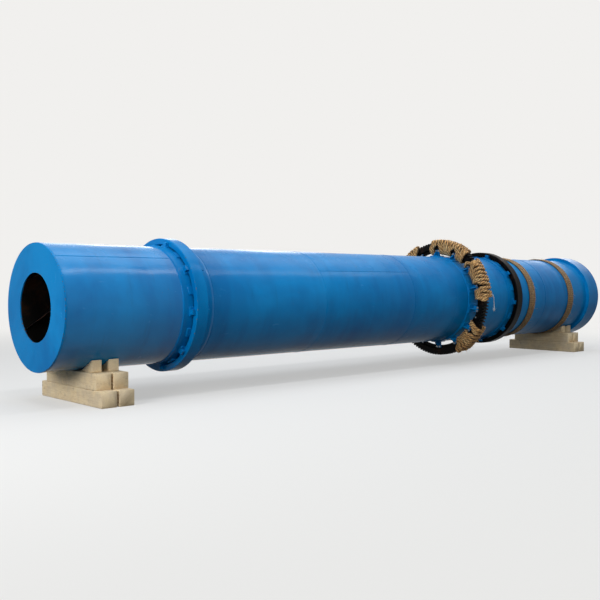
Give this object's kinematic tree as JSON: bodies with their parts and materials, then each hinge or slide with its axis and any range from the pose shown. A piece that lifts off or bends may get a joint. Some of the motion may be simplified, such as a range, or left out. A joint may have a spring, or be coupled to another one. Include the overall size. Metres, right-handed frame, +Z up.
{
  "type": "rotary dryer drum",
  "caption": "Long steel drum of a rotary sawdust dryer with riding tyres, a girth gear wrapped in straw rope, ring-shaped ends and lifting flights inside, lying on timbers.",
  "frame": {"origin": "on the ground under the bearers, halfway along the drum and under its axis", "axes": "+X along the drum from the feed end to the outlet end, +Z up, the drum axis runs parallel to X at 1.13 m"},
  "size_m": [12, 2.112, 2.186],
  "materials": {
    "blue_paint": "glossy blue enamel over rolled steel plate",
    "greased_steel": "dark steel under a film of black grease",
    "bare_steel": "bare mill plate, dulled by handling",
    "straw_rope": "coarse twisted straw rope, wound turn by turn",
    "white_string": "twisted polypropylene baling string",
    "timber": "rough-sawn pale softwood"
  },
  "bodies": {
    "root": {"feed_chocks": "timber", "feed_end_plate": "blue_paint", "feed_lower_timbers": "timber", "feed_tyre": "blue_paint", "feed_tyre_band": "blue_paint", "feed_tyre_pads": "blue_paint", "feed_tyre_stops": "blue_paint", "feed_upper_timbers": "timber", "feed_vanes": "bare_steel", "gear_band": "blue_paint", "gear_feet": "blue_paint", "gear_uprights": "blue_paint", "girth_gear_lower_half": "greased_steel", "girth_gear_upper_half": "greased_steel", "lifting_flights_1": "bare_steel", "lifting_flights_2": "bare_steel", "lifting_flights_3": "bare_steel", "lifting_flights_4": "bare_steel", "loose_string": "white_string", "outlet_chocks": "timber", "outlet_end_plate": "blue_paint", "outlet_lower_timbers": "timber", "outlet_tyre": "greased_steel", "outlet_tyre_band": "blue_paint", "outlet_tyre_pads": "blue_paint", "outlet_tyre_stops": "blue_paint", "outlet_upper_timbers": "timber", "seal_collar": "blue_paint", "seal_collar_side": "blue_paint", "shell_course_1": "blue_paint", "shell_course_2": "blue_paint", "shell_course_3": "blue_paint", "shell_course_4": "blue_paint", "shell_course_5": "blue_paint", "shell_course_6": "blue_paint", "straw_band_1": "straw_rope", "straw_band_2": "straw_rope", "straw_wrap_1": "straw_rope", "straw_wrap_2": "straw_rope", "straw_wrap_3": "straw_rope", "straw_wrap_4": "straw_rope", "straw_wrap_5": "straw_rope"}
  },
  "joints": []
}
